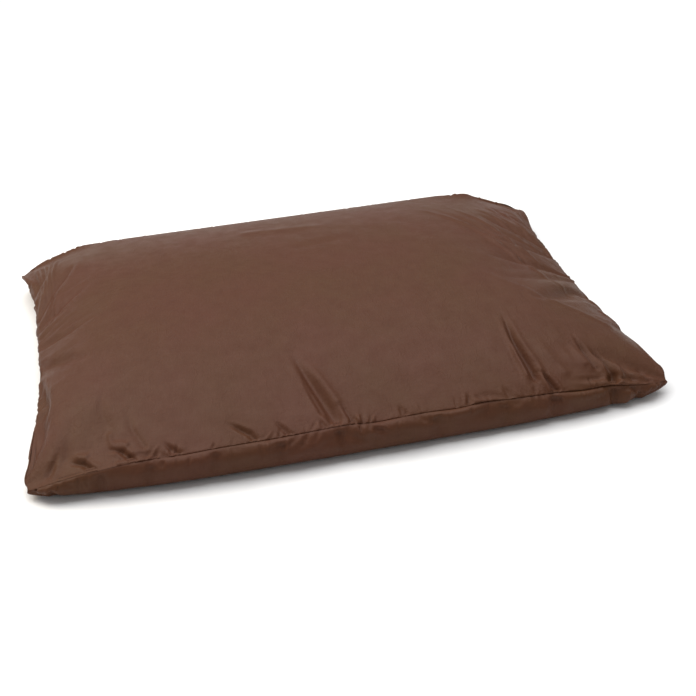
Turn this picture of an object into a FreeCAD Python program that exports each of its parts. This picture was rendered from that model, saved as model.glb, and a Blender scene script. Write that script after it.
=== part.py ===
"""Pet cushion bed: a zipped fabric cover over a fibre-filled inner cushion. Millimetres, +Z up.

The origin is on the floor under the middle of the bed. X runs along the long sides, and the zip is in
the rear long side, at +Y. Each node is written to parts/NODE.step.
"""

import FreeCAD, Part
import os
from FreeCAD import Vector

# Overall size
TIP_TO_TIP_WIDTH = 888.0  # between corner tips, along X
TIP_TO_TIP_DEPTH = 630.0  # between corner tips, along Y
CROWN_HEIGHT = 128.0
SHORT_SIDE_PULL = 38.0  # how far each short side bows in at its middle
FRONT_BULGE = 17.0  # how far each long side stands out past its corner tips
REAR_BULGE = 12.7
FRONT_FULLNESS = 3  # the higher, the straighter the middle of the side
REAR_FULLNESS = 8
WALL_HEIGHT = 61.0  # the upright side, up to where the top starts to curve over
WALL_HEIGHT_AT_CORNER = 24.0
SEAM_HEIGHT = 46.0
SEAM_HEIGHT_AT_CORNER = 12.0

# Fabrics
COVER_THICKNESS = 1.0
LINER_THICKNESS = 0.8
LAYER_GAP = 0.4  # air between one layer and the next
PANEL_GAP = 0.05  # half the air between the two panels at a seam
SEAM_ALLOWANCE = 10.0
ALLOWANCE_THICKNESS = 0.8
LINER_INSET = 15.0  # the inner cushion is this much smaller than the cover, all round
THREAD_THICKNESS = 0.4

# Zip: one chain of moulded teeth, closed at +X
ZIP_SLOT_HALF_LENGTH = 286.0
ZIP_SLOT_HALF_HEIGHT = 6.0
TAPE_HALF_LENGTH = 284.0
TAPE_WIDTH = 14.0
TAPE_THICKNESS = 0.6
TAPE_EDGE = 1.5  # from the chain's centre line to each tape's inner edge
TAPE_CLEARANCE = 0.5  # from the cover's inner face, which curves in a little towards the tapes' ends
TOOTH_PITCH = 2.75
TOOTH_THICKNESS = 2.4
TEETH_START = -270.0
TEETH_COUNT = 195  # on each tape
# Half of one tooth's outline: across the tooth, and away from the chain's centre line
TOOTH_HALF_OUTLINE = [(0.85, 2.9), (0.85, 0.9), (0.42, 0.7), (0.42, 0.1), (0.62, -0.35), (0.4, -0.95)]
STOP_RELIEF = 0.15  # the stops stand this much prouder of the tapes than the teeth, on each side
STOP_HALF_HEIGHT = 3.0
STOP_INNER = 1.45  # the top stops wrap round the tapes' inner edges, down to here
TOP_STOP_AHEAD = 2.2  # from the slider's middle to the near end of the top stops
TOP_STOP_LENGTH = 2.2
BOTTOM_STOP_BEHIND = 5.2  # from the first tooth to the far end of the bottom stop
BOTTOM_STOP_LENGTH = 3.0
SLIDER_X = 265.0  # the slider's middle when the zip is closed
SLIDER_LENGTH = 11.0
SLIDER_NOSE_HALF = 4.6
SLIDER_TAIL_HALF = 3.9
SLIDER_CHANNEL_HALF = 3.3
SLIDER_PLATE = 1.2
CHANNEL_HALF_THICKNESS = 1.6
TAPE_SLOT_HALF = 0.7
POST_HALF = 1.15  # the post that keeps the two rows apart at the slider's nose
POST_LENGTH = 2.7
POST_SETBACK = 0.3
LUG_HALF_WIDTH = 0.9
LUG_HALF_FOOT = 3.6
LUG_HALF_TOP = 1.4
LUG_CORNER = 0.8
LUG_WALL = 0.3  # over the pull's eye
PULL_PIN_RADIUS = 0.7
PULL_HOLE_RADIUS = 0.78
PULL_EYE_RADIUS = 1.2
PULL_EYE_CLEARANCE = 0.2  # over the slider's plate
PULL_ARM_CLEARANCE = 0.25  # beside the lug
PULL_ARM_WIDTH = 1.2
PULL_TAB_SETBACK = 4.6  # from the pin to where the tab starts
PULL_LENGTH = 26.0
PULL_THICKNESS = 1.2
STITCH_PITCH = 3.6
STITCH_LENGTH = 2.7
STITCH_SIZE = 0.45
STITCH_TO_SLOT = 3.0  # from the zip slot's edge to the row of stitches
STITCH_LIFT = 0.08  # clear of the cover's face

# Care label, sewn into the rear seam beyond the zip
LABEL_X = -332.0
LABEL_WIDTH = 28.0
LABEL_DROP = 34.0
LABEL_THICKNESS = 0.5
LABEL_GAP = 0.25  # from the cover's face

HALF_WIDTH = TIP_TO_TIP_WIDTH / 2
TIP_HALF_DEPTH = TIP_TO_TIP_DEPTH / 2
HALF_DEPTH = TIP_HALF_DEPTH + FRONT_BULGE
REAR_Y = TIP_HALF_DEPTH + REAR_BULGE  # the outside of the rear side, at the zip
TALL = 400.0  # taller than anything in the model
OVERHANG = 24.0  # how far the curved surfaces run past the outline


def rear_y(x, inset=0.0):
    """The y of the rear side at x: straight behind the zip, and drawn in to the corner tips."""
    share = abs(x) / (HALF_WIDTH - inset)
    return TIP_HALF_DEPTH - inset + REAR_BULGE * (1 - share**REAR_FULLNESS)


def front_y(x, inset=0.0):
    share = abs(x) / (HALF_WIDTH - inset)
    return inset - TIP_HALF_DEPTH - FRONT_BULGE * (1 - share**FRONT_FULLNESS)


def short_side_x(y, inset=0.0):
    share = abs(y) / (TIP_HALF_DEPTH - inset)
    return HALF_WIDTH - inset - SHORT_SIDE_PULL * (1 - share**3)


def smooth_edge(points):
    curve = Part.BSplineCurve()
    curve.interpolate(points)
    return curve.toShape()


def outline_face(inset, z):
    """The bed's plan, moved in by inset, as a face at height z."""
    steps = [-1, -0.94, -0.86, -0.74, -0.56, -0.3, 0, 0.3, 0.56, 0.74, 0.86, 0.94, 1]
    along_x = [(HALF_WIDTH - inset) * s for s in steps]
    along_y = [(TIP_HALF_DEPTH - inset) * s for s in steps]
    front = [Vector(x, front_y(x, inset), z) for x in along_x]
    right = [Vector(short_side_x(y, inset), y, z) for y in along_y]
    rear = [Vector(x, rear_y(x, inset), z) for x in reversed(along_x)]
    left = [Vector(-short_side_x(y, inset), y, z) for y in reversed(along_y)]
    return Part.Face(Part.Wire([smooth_edge(side) for side in (front, right, rear, left)]))


def prism(inset, z=0.0):
    return outline_face(inset, z).extrude(Vector(0, 0, TALL))


def crown_profile(share):
    """1 at the middle and 0 at the side, flat on top and steep near the side."""
    return 1 - 0.35 * share**2 - 0.65 * share**6


def crown_z(x, y):
    across, along = x / HALF_WIDTH, y / HALF_DEPTH
    near_corner = abs(across * along) ** 6
    edge = WALL_HEIGHT - (WALL_HEIGHT - WALL_HEIGHT_AT_CORNER) * min(near_corner, 1.0)
    return edge + (CROWN_HEIGHT - WALL_HEIGHT) * crown_profile(across) * crown_profile(along)


def seam_z(x, y):
    near_corner = abs(x * y / (HALF_WIDTH * TIP_HALF_DEPTH)) ** 8
    return SEAM_HEIGHT - (SEAM_HEIGHT - SEAM_HEIGHT_AT_CORNER) * min(near_corner, 1.0)


def below(height_at, shift=0.0):
    """All the space under the surface z = height_at(x, y) + shift."""
    columns, rows = 25, 21
    x_reach, y_reach = HALF_WIDTH + OVERHANG, HALF_DEPTH + OVERHANG
    grid = []
    for i in range(columns):
        x = x_reach * (2 * i / (columns - 1) - 1)
        row = []
        for j in range(rows):
            y = y_reach * (2 * j / (rows - 1) - 1)
            row.append(Vector(x, y, height_at(x, y) + shift))
        grid.append(row)
    surface = Part.BSplineSurface()
    surface.interpolate(grid)
    return surface.toShape().extrude(Vector(0, 0, -TALL))


def lump(inset, sunk, lift):
    """A solid of the cushion's shape: its sides in by inset, its top down by sunk, its base up by lift."""
    return prism(inset, lift).common(below(crown_z, -sunk))


def layer(low, high):
    """The space between two heights of the seam surface."""
    return below(seam_z, high).cut(below(seam_z, low))


def ring(outer_inset, inner_inset, low, high):
    """A flat band that follows the seam all round, between two insets and two heights off the seam."""
    band = prism(outer_inset).cut(prism(inner_inset))
    return band.common(layer(low, high))


def box(x0, x1, y0, y1, z0, z1):
    return Part.makeBox(x1 - x0, y1 - y0, z1 - z0, Vector(x0, y0, z0))


def plate(points, thickness):
    """A flat polygon, thickened along the vector thickness."""
    return Part.Face(Part.makePolygon(points + points[:1])).extrude(thickness)


def zip_slot():
    """The opening in the rear side that the zip closes."""
    return box(
        -ZIP_SLOT_HALF_LENGTH,
        ZIP_SLOT_HALF_LENGTH,
        REAR_Y - LINER_INSET,
        REAR_Y + 1,
        SEAM_HEIGHT - ZIP_SLOT_HALF_HEIGHT,
        SEAM_HEIGHT + ZIP_SLOT_HALF_HEIGHT,
    )


def cover_panels():
    """The cover's top and bottom, each one panel with its seam allowance turned in."""
    shell = lump(0, 0, 0).cut(lump(COVER_THICKNESS, COVER_THICKNESS, COVER_THICKNESS))
    inner = COVER_THICKNESS + SEAM_ALLOWANCE
    reach = PANEL_GAP + ALLOWANCE_THICKNESS
    half_in = COVER_THICKNESS / 2  # each allowance starts inside the wall, so that the two fuse
    top_allowance = ring(half_in, inner, PANEL_GAP, reach)
    bottom_allowance = ring(half_in, inner, -reach, -PANEL_GAP)
    slot = zip_slot()
    top = shell.cut(below(seam_z, PANEL_GAP)).fuse(top_allowance).cut(slot)
    bottom = shell.common(below(seam_z, -PANEL_GAP)).fuse(bottom_allowance).cut(slot)
    return top, bottom


def cover_seam_threads():
    """The needle thread on the top allowance and the bobbin thread under the bottom one."""
    middle = COVER_THICKNESS + SEAM_ALLOWANCE * 0.6
    near = PANEL_GAP + ALLOWANCE_THICKNESS + 0.05
    far = near + THREAD_THICKNESS
    edges = (middle - THREAD_THICKNESS / 2, middle + THREAD_THICKNESS / 2)
    slot = zip_slot()
    return ring(*edges, near, far).cut(slot), ring(*edges, -far, -near).cut(slot)


def inner_cushion():
    """The sewn liner's two panels, the overlock thread round its seam, and its fibre filling."""
    outside = COVER_THICKNESS + LAYER_GAP
    inside = outside + LINER_THICKNESS
    shell = lump(LINER_INSET, outside, outside).cut(
        lump(LINER_INSET + LINER_THICKNESS, inside, inside)
    )
    top = shell.cut(below(seam_z, PANEL_GAP))
    bottom = shell.common(below(seam_z, -PANEL_GAP))
    thread_edge = LINER_INSET - 0.1
    thread = ring(thread_edge - 1.0, thread_edge, -0.9, 0.9)
    fill_depth = inside + LAYER_GAP
    fill = lump(LINER_INSET + LINER_THICKNESS + LAYER_GAP, fill_depth, fill_depth)
    return top, bottom, thread, fill


def tape_plane_y():
    """The y of the middle of the zip tapes, just inside the cover's rear side."""
    return REAR_Y - COVER_THICKNESS - TAPE_CLEARANCE - TAPE_THICKNESS / 2


def zip_tape(side):
    """side is 1 for the upper tape and -1 for the lower."""
    y = tape_plane_y()
    ends = sorted((SEAM_HEIGHT + side * TAPE_EDGE, SEAM_HEIGHT + side * (TAPE_EDGE + TAPE_WIDTH)))
    half = TAPE_THICKNESS / 2
    return box(-TAPE_HALF_LENGTH, TAPE_HALF_LENGTH, y - half, y + half, *ends)


def zip_tooth(x, side):
    """One tooth: a block that grips the tape's edge, a neck, and a wider head past the centre line."""
    left = [(-across, away) for across, away in TOOTH_HALF_OUTLINE]
    outline = left + TOOTH_HALF_OUTLINE[::-1]
    y = tape_plane_y() - TOOTH_THICKNESS / 2
    points = [Vector(x + across, y, SEAM_HEIGHT + side * away) for across, away in outline]
    tooth = plate(points, Vector(0, TOOTH_THICKNESS, 0))
    return tooth.cut(zip_tape(side))


def zip_teeth(side):
    offset = 0.0 if side > 0 else TOOTH_PITCH / 2
    first = zip_tooth(TEETH_START + offset, side)
    teeth = []
    for i in range(TEETH_COUNT):
        tooth = first.copy()
        tooth.translate(Vector(i * TOOTH_PITCH, 0, 0))
        teeth.append(tooth)
    return Part.Compound(teeth)


def stop_block(x0, x1, z0, z1):
    """A moulded stop, astride the tapes where it meets them."""
    y = tape_plane_y()
    half = TOOTH_THICKNESS / 2 + STOP_RELIEF
    block = box(x0, x1, y - half, y + half, SEAM_HEIGHT + z0, SEAM_HEIGHT + z1)
    return block.cut(zip_tape(1)).cut(zip_tape(-1))


def zip_top_stops():
    x0 = SLIDER_X + TOP_STOP_AHEAD
    x1 = x0 + TOP_STOP_LENGTH
    inner, outer = STOP_INNER, STOP_HALF_HEIGHT
    return Part.Compound([stop_block(x0, x1, inner, outer), stop_block(x0, x1, -outer, -inner)])


def zip_bottom_stop():
    stop_x = TEETH_START - BOTTOM_STOP_BEHIND
    return stop_block(stop_x, stop_x + BOTTOM_STOP_LENGTH, -STOP_HALF_HEIGHT, STOP_HALF_HEIGHT)


def slider_plate(y0, y1):
    """The slider's outline seen from outside, with bevelled corners, from y0 to y1."""
    nose, tail = SLIDER_X + SLIDER_LENGTH / 2, SLIDER_X - SLIDER_LENGTH / 2
    bevel = 1.0
    ends = [
        (tail, SLIDER_TAIL_HALF - bevel),
        (tail + bevel, SLIDER_TAIL_HALF),
        (nose - bevel, SLIDER_NOSE_HALF),
        (nose, SLIDER_NOSE_HALF - bevel),
    ]
    upper = [Vector(x, y0, SEAM_HEIGHT + z) for x, z in ends]
    lower = [Vector(x, y0, SEAM_HEIGHT - z) for x, z in reversed(ends)]
    return plate(upper + lower, Vector(0, y1 - y0, 0))


def slider_pivot():
    """The middle of the pull's pin."""
    plate_face = tape_plane_y() + CHANNEL_HALF_THICKNESS + SLIDER_PLATE
    return Vector(SLIDER_X, plate_face + PULL_EYE_CLEARANCE + PULL_EYE_RADIUS, SEAM_HEIGHT)


def slider_lug():
    """The arch on the slider's outer plate that the pull's pin runs through."""
    pivot = slider_pivot()
    foot = tape_plane_y() + CHANNEL_HALF_THICKNESS + SLIDER_PLATE / 2
    top = pivot.y + PULL_EYE_RADIUS + LUG_WALL
    right = [(LUG_HALF_TOP, top), (LUG_HALF_TOP + LUG_CORNER, top - LUG_CORNER), (LUG_HALF_FOOT, foot)]
    left = [(-x, y) for x, y in reversed(right)]
    points = [Vector(SLIDER_X + x, y, SEAM_HEIGHT - LUG_HALF_WIDTH) for x, y in left + right]
    arch = plate(points, Vector(0, 0, 2 * LUG_HALF_WIDTH))
    hole_start = pivot - Vector(0, 0, 2 * LUG_HALF_WIDTH)
    return arch.cut(Part.makeCylinder(PULL_HOLE_RADIUS, 4 * LUG_HALF_WIDTH, hole_start))


def zip_slider():
    """Two plates round the chain, their turned-in edges, the post between the rows, and the lug."""
    y = tape_plane_y()
    inner, outer = CHANNEL_HALF_THICKNESS, CHANNEL_HALF_THICKNESS + SLIDER_PLATE
    body = slider_plate(y + inner, y + outer).fuse(slider_plate(y - outer, y - inner))
    x0, x1 = SLIDER_X - SLIDER_LENGTH, SLIDER_X + SLIDER_LENGTH
    low, high = SEAM_HEIGHT - SLIDER_CHANNEL_HALF, SEAM_HEIGHT + SLIDER_CHANNEL_HALF
    channel = box(x0, x1, y - outer, y + outer, low, high)
    tape_slot = box(x0, x1, y - TAPE_SLOT_HALF, y + TAPE_SLOT_HALF, 0, 2 * SEAM_HEIGHT)
    rim = slider_plate(y - outer, y + outer).cut(channel).cut(tape_slot)
    post_end = SLIDER_X + SLIDER_LENGTH / 2 - POST_SETBACK
    low, high = SEAM_HEIGHT - POST_HALF, SEAM_HEIGHT + POST_HALF
    post = box(post_end - POST_LENGTH, post_end, y - outer, y + outer, low, high)
    return body.fuse(rim).fuse(post).fuse(slider_lug()).removeSplitter()


def zip_pull():
    """A pin with an eye at each side of the lug, and a flat tab that lies along the chain."""
    pivot = slider_pivot()
    arm_in = LUG_HALF_WIDTH + PULL_ARM_CLEARANCE
    arm_out = arm_in + PULL_ARM_WIDTH
    pull = Part.makeCylinder(PULL_PIN_RADIUS, 2 * arm_out, pivot - Vector(0, 0, arm_out))
    half = PULL_THICKNESS / 2
    tab_start = pivot.x - PULL_TAB_SETBACK
    for side in (1, -1):
        low, high = sorted((pivot.z + side * arm_in, pivot.z + side * arm_out))
        eye = Part.makeCylinder(PULL_EYE_RADIUS, high - low, Vector(pivot.x, pivot.y, low))
        arm = box(tab_start - 1.0, pivot.x, pivot.y - half, pivot.y + half, low, high)
        pull = pull.fuse(eye).fuse(arm)
    tab_end = pivot.x - PULL_LENGTH
    # half of the tab's outline: narrow near the arms, and wider where the fingers hold it
    outline = [
        (tab_start, arm_out),
        (tab_start - 5.0, 2.0),
        (tab_end + 7.0, 3.2),
        (tab_end + 1.5, 3.2),
        (tab_end, 1.9),
    ]
    upper = [Vector(x, pivot.y - half, pivot.z + z) for x, z in outline]
    lower = [Vector(x, pivot.y - half, pivot.z - z) for x, z in reversed(outline)]
    tab = plate(upper + lower, Vector(0, PULL_THICKNESS, 0))
    return pull.fuse(tab).removeSplitter()


def zip_stitches(side):
    """The row of stitches that holds one tape to its panel, on the outside of the cover."""
    z = SEAM_HEIGHT + side * (ZIP_SLOT_HALF_HEIGHT + STITCH_TO_SLOT)
    half = STITCH_SIZE / 2
    count = int(2 * (ZIP_SLOT_HALF_LENGTH - 2 * STITCH_TO_SLOT) / STITCH_PITCH)
    stitches = []
    for i in range(count):
        middle = (i - (count - 1) / 2) * STITCH_PITCH
        x0, x1 = middle - STITCH_LENGTH / 2, middle + STITCH_LENGTH / 2
        y = max(rear_y(x0), rear_y(x1)) + STITCH_LIFT
        stitches.append(box(x0, x1, y, y + STITCH_SIZE, z - half, z + half))
    return Part.Compound(stitches)


def care_label():
    """A blank folded label that hangs from the rear seam."""
    xs = [LABEL_X + LABEL_WIDTH * (i / 4 - 0.5) for i in range(5)]
    top = SEAM_HEIGHT - 1.0
    inner = [Vector(x, rear_y(x) + LABEL_GAP, top) for x in xs]
    outer = [Vector(x, rear_y(x) + LABEL_GAP + LABEL_THICKNESS, top) for x in reversed(xs)]
    return plate(inner + outer, Vector(0, 0, -LABEL_DROP))


def build():
    cover_top, cover_bottom = cover_panels()
    needle_thread, bobbin_thread = cover_seam_threads()
    liner_top, liner_bottom, liner_thread, fill = inner_cushion()
    return {
        "cover_top_panel": cover_top,
        "cover_bottom_panel": cover_bottom,
        "cover_seam_needle_thread": needle_thread,
        "cover_seam_bobbin_thread": bobbin_thread,
        "liner_top_panel": liner_top,
        "liner_bottom_panel": liner_bottom,
        "liner_overlock_thread": liner_thread,
        "fibre_fill": fill,
        "zip_tape_upper": zip_tape(1),
        "zip_tape_lower": zip_tape(-1),
        "zip_teeth_upper": zip_teeth(1),
        "zip_teeth_lower": zip_teeth(-1),
        "zip_top_stops": zip_top_stops(),
        "zip_bottom_stop": zip_bottom_stop(),
        "zip_slider": zip_slider(),
        "zip_pull": zip_pull(),
        "zip_stitching_upper": zip_stitches(1),
        "zip_stitching_lower": zip_stitches(-1),
        "care_label": care_label(),
    }


os.makedirs("parts", exist_ok=True)
for name, shape in build().items():
    solids = shape.Solids
    piece = solids[0] if len(solids) == 1 else Part.Compound(solids)
    print(f"{name}: {len(solids)} solid(s), {piece.Volume / 1000:.2f} cm3, valid {piece.isValid()}")
    piece.exportStep(f"parts/{name}.step")
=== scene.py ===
import math

import bpy
import numpy as np
from mathutils import Matrix, Vector


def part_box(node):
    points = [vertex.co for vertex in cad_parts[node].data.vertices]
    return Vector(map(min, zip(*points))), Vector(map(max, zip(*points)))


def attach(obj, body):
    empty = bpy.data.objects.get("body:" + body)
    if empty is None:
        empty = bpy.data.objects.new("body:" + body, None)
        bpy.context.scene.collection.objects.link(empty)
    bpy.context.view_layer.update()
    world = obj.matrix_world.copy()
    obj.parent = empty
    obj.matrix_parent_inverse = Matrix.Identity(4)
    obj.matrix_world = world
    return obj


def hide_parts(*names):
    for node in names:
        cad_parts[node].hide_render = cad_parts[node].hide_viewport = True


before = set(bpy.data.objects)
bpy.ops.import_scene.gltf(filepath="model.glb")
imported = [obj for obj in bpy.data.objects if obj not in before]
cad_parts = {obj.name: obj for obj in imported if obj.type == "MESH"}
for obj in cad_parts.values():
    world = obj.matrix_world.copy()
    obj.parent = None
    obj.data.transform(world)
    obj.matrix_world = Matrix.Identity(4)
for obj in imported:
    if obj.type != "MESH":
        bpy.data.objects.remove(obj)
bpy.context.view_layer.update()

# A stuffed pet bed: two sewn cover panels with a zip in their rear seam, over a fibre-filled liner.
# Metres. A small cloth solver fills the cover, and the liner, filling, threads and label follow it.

SINGLE = np.float32

# ---------------------------------------------------------------------------------------------
# Sizes

CUT = (0.914, 0.686)  # each cover panel inside its seam line, across and deep
LINER_CUT = (0.884, 0.656)
EASE = {"top": (-0.020, 0.002), "bottom": (0.0, 0.0425)}  # how far each panel's sides bow out
EASE_LEAN = 0.18  # the long sides bow out more towards the left
SEAM_TAKE_UP = 0.975  # the stitches gather the long seams to this share of their cut length
SIDE_TAKE_UP = 0.958  # and the short ones to this
CORNER_ROUND = 0.012
CORNER_REACH = 0.027

TIP = (0.4525, 0.3225)  # where the corner seams would meet if the corners weren't rounded
NEAR_LEFT, NEAR_RIGHT, FAR_LEFT, FAR_RIGHT = 0.010, 0.017, 0.026, 0.020  # how high the tips lie
# Each seam: how far it stands out past its tips, how straight its middle is, how much more of that lies
# towards its start, its height, and how late it drops to each of its two tips
SIDES = {
    "front": (0.0125, 3, 0.5, 0.047, (6, 3.2)),
    "rear": (0.0067, 12, 0.0, 0.046, (10, 8)),
    "left": (-0.038, 3, 0.0, 0.046, (3, 7)),
    "right": (-0.038, 3, 0.0, 0.036, (4, 5)),
}
CROWN = 0.117
# How far in from each side the top has risen to the crown, and how steeply it starts
SHOULDERS = {"left": (0.16, 1.6), "right": (0.24, 1.15), "front": (0.17, 1.6), "rear": (0.165, 1.62)}

tape_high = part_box("zip_tape_upper")[1]
stitch_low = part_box("zip_stitching_upper")[0]
slider_low, slider_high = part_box("zip_slider")
ZIP_HALF = tape_high.x + 0.002  # half the length of the slot in the rear seam
ZIP_Y = stitch_low.y - 0.00008  # the outside of the cover beside the zip
ZIP_Z = (slider_low.z + slider_high.z) / 2
ZIP_SLOT = 0.006  # half the slot's height
ZIP_FADE = 0.018  # beyond its ends, the slot closes over this length
ZIP_FLAT = 0.011  # the cover is held flat this far from the slot
ZIP_LOOSE = 0.014  # and not at all this far from it
ZIP_HOLD_FADE = 0.070  # and is let go over this length beyond the slot's ends

GRID = (352, 264)  # cells across and deep in the finest simulation
LEVELS = (
    # cells, steps, roughness that is added at the start, and its grain
    {"cells": (60, 46), "steps": 900, "rough": 0.0020, "grain": 0.050},
    {"cells": (120, 92), "steps": 700, "rough": 0.0008, "grain": 0.020},
    {"cells": (240, 184), "steps": 420, "rough": 0.0003, "grain": 0.010},
    {"cells": GRID, "steps": 160, "rough": 0.0, "grain": 0.005},
)
SEED = 7

# ---------------------------------------------------------------------------------------------
# Folds: points on the cut panel from their faint end to their deep end, the half width at both ends,
# the depth, which is negative for a ridge, and the share of the length that its deep end fades over.
# Some of the top panel's strokes, most of them near the front seam and the near right corner, began as
# a helper script's conversion of points picked in the photo, and were then moved by hand: see report.md.

TOP_FOLDS = (
    # the long fold at the middle of the front, and the creases beside it
    ([(-0.074, -0.190), (-0.058, -0.250), (-0.044, -0.300), (-0.032, -0.341)], (0.004, 0.0075), 0.0095),
    ([(-0.052, -0.215), (-0.037, -0.265), (-0.024, -0.310)], (0.005, 0.007), -0.0022),
    ([(-0.068, -0.250), (-0.058, -0.290), (-0.050, -0.322)], (0.002, 0.003), 0.0022),
    ([(-0.024, -0.300), (-0.012, -0.341)], (0.002, 0.0035), 0.0040),
    ([(-0.058, -0.322), (-0.050, -0.342)], (0.002, 0.0035), 0.0035),
    # the fold right of the middle, with a second lobe
    ([(0.250, -0.175), (0.245, -0.245), (0.248, -0.290), (0.249, -0.326)], (0.003, 0.0055), 0.0110, 0.14),
    ([(0.252, -0.300), (0.262, -0.310), (0.273, -0.342)], (0.002, 0.0045), 0.0080),
    ([(0.240, -0.225), (0.236, -0.275), (0.239, -0.318)], (0.003, 0.003), -0.0030),
    ([(0.264, -0.285), (0.258, -0.318), (0.262, -0.341)], (0.003, 0.004), -0.0030),
    ([(0.276, -0.235), (0.282, -0.275), (0.296, -0.320)], (0.006, 0.007), -0.0020),
    # the near right corner
    ([(0.335, -0.235), (0.341, -0.280), (0.342, -0.315)], (0.002, 0.0042), 0.0055),
    ([(0.324, -0.250), (0.329, -0.305)], (0.005, 0.005), -0.0024),
    ([(0.350, -0.262), (0.361, -0.300), (0.362, -0.322), (0.352, -0.342)], (0.002, 0.0055), 0.0110),
    ([(0.372, -0.285), (0.372, -0.330)], (0.004, 0.005), -0.0028),
    ([(0.385, -0.290), (0.388, -0.335)], (0.004, 0.005), 0.0030),
    ([(0.410, -0.300), (0.414, -0.336)], (0.003, 0.004), 0.0025),
    # short creases that end at the front seam
    ([(-0.392, -0.306), (-0.368, -0.318), (-0.350, -0.342)], (0.002, 0.0042), 0.0066),
    ([(-0.388, -0.298), (-0.360, -0.310)], (0.004, 0.005), -0.0026),
    ([(-0.340, -0.304), (-0.316, -0.318), (-0.298, -0.342)], (0.002, 0.0042), 0.0066),
    ([(-0.334, -0.296), (-0.306, -0.310)], (0.004, 0.005), -0.0026),
    ([(-0.266, -0.314), (-0.241, -0.342)], (0.002, 0.0045), 0.0045),
    ([(-0.182, -0.300), (-0.150, -0.328), (-0.142, -0.342)], (0.002, 0.0045), 0.0055),
    ([(-0.116, -0.312), (-0.099, -0.342)], (0.002, 0.0035), 0.0040),
    ([(0.052, -0.318), (0.060, -0.342)], (0.002, 0.0035), 0.0030),
    ([(0.150, -0.316), (0.146, -0.342)], (0.002, 0.0035), 0.0028),
    ([(0.198, -0.318), (0.204, -0.342)], (0.002, 0.0035), 0.0030),
    # soft valleys and ridges above the near left corner
    ([(-0.340, -0.190), (-0.343, -0.240), (-0.332, -0.285)], (0.006, 0.006), 0.0024),
    ([(-0.312, -0.240), (-0.302, -0.285), (-0.284, -0.325)], (0.004, 0.004), 0.0026),
    ([(-0.338, -0.255), (-0.330, -0.300), (-0.320, -0.325)], (0.003, 0.004), -0.0022),
    ([(-0.380, -0.215), (-0.386, -0.262), (-0.395, -0.310)], (0.009, 0.008), 0.0020),
    ([(-0.400, -0.280), (-0.418, -0.322)], (0.003, 0.004), 0.0024),
    # soft folds down the left side
    ([(-0.350, 0.050), (-0.400, 0.060), (-0.425, 0.078)], (0.008, 0.006), 0.0012),
    ([(-0.345, -0.015), (-0.400, -0.005), (-0.425, 0.010)], (0.008, 0.006), -0.0010),
    ([(-0.350, -0.075), (-0.400, -0.070), (-0.425, -0.062)], (0.008, 0.007), 0.0010),
    ([(-0.355, -0.150), (-0.400, -0.155), (-0.425, -0.158)], (0.008, 0.007), -0.0009),
    # long ridges on the right slope
    ([(0.205, 0.262), (0.295, 0.130), (0.352, 0.010), (0.432, -0.170)], (0.005, 0.0035), -0.0034, 0.6),
    ([(0.250, 0.225), (0.326, 0.100), (0.385, -0.030)], (0.006, 0.006), 0.0026),
    ([(0.270, 0.262), (0.345, 0.125), (0.398, 0.000), (0.432, -0.090)], (0.004, 0.003), -0.0026, 0.6),
    ([(0.320, 0.262), (0.378, 0.160), (0.432, 0.020)], (0.004, 0.003), -0.0022, 0.6),
    ([(0.345, 0.215), (0.395, 0.110), (0.430, 0.020)], (0.004, 0.004), 0.0018, 0.6),
    ([(0.362, 0.280), (0.402, 0.205), (0.434, 0.090)], (0.004, 0.003), -0.0020, 0.6),
    ([(0.240, -0.040), (0.330, -0.140), (0.425, -0.225)], (0.006, 0.004), -0.0014),
    # broad, faint undulations over the back of the crown
    ([(0.100, 0.180), (-0.090, 0.205)], (0.012, 0.012), -0.0018),
    ([(0.105, 0.110), (-0.010, 0.092)], (0.010, 0.010), 0.0016),
    ([(-0.090, -0.030), (-0.150, -0.020)], (0.010, 0.010), 0.0015),
)
# fine pleats that fan out of the two far tips: where the first one starts and ends, the step to the
# next at both ends, and how many there are
PLEATS = (
    ((-0.436, 0.312), (-0.447, 0.150), (0.010, -0.003), (0.002, -0.016), 6),
    ((-0.388, 0.165), (-0.446, 0.070), (-0.006, -0.024), (0.0, -0.022), 3),
    ((0.440, 0.322), (0.448, 0.250), (-0.009, 0.0), (0.0, -0.014), 5),
)
PLEAT_BEND = 0.004
PLEAT_WIDTH = (0.0022, 0.0026)
PLEAT_DEPTH = -0.0019

# small puckers all along the front and rear seams: how many, how long, how wide and how deep
PUCKERS = {"front": 70, "rear": 46}
PUCKER_LENGTH = (0.008, 0.026)
PUCKER_WIDTH = (0.0014, 0.0026)
PUCKER_DEPTH = (0.0007, 0.0021)
PUCKER_SLANT = 0.35
PUCKER_SPAN = 0.43  # they lie this far to either side of the middle


def pleats():
    """Every fan's pleats, each with its middle a little to the right of a straight line."""
    out = []
    for start, end, start_step, end_step, count in PLEATS:
        for i in range(count):
            first = (start[0] + i * start_step[0], start[1] + i * start_step[1])
            last = (end[0] + i * end_step[0], end[1] + i * end_step[1])
            middle = ((first[0] + last[0]) / 2 + PLEAT_BEND, (first[1] + last[1]) / 2)
            out.append(([last, middle, first], PLEAT_WIDTH, PLEAT_DEPTH))
    return tuple(out)


def puckers(seed):
    """Small creases that start at a long seam, at chance places and angles."""
    rng = np.random.default_rng(seed)
    out = []
    for side, count in PUCKERS.items():
        sign = -1 if side == "front" else 1
        for _ in range(count):
            x = rng.uniform(-PUCKER_SPAN, PUCKER_SPAN)
            length = rng.uniform(*PUCKER_LENGTH)
            slant = rng.normal(0, PUCKER_SLANT) * length
            width = rng.uniform(*PUCKER_WIDTH)
            depth = rng.uniform(*PUCKER_DEPTH) * rng.choice((1, 1, -1))
            seam = sign * (CUT[1] / 2 - 0.001)
            ends = [(x - slant, seam - sign * length), (x, seam)]
            out.append((ends, (width * 0.7, width), depth))
    return tuple(out)


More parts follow.
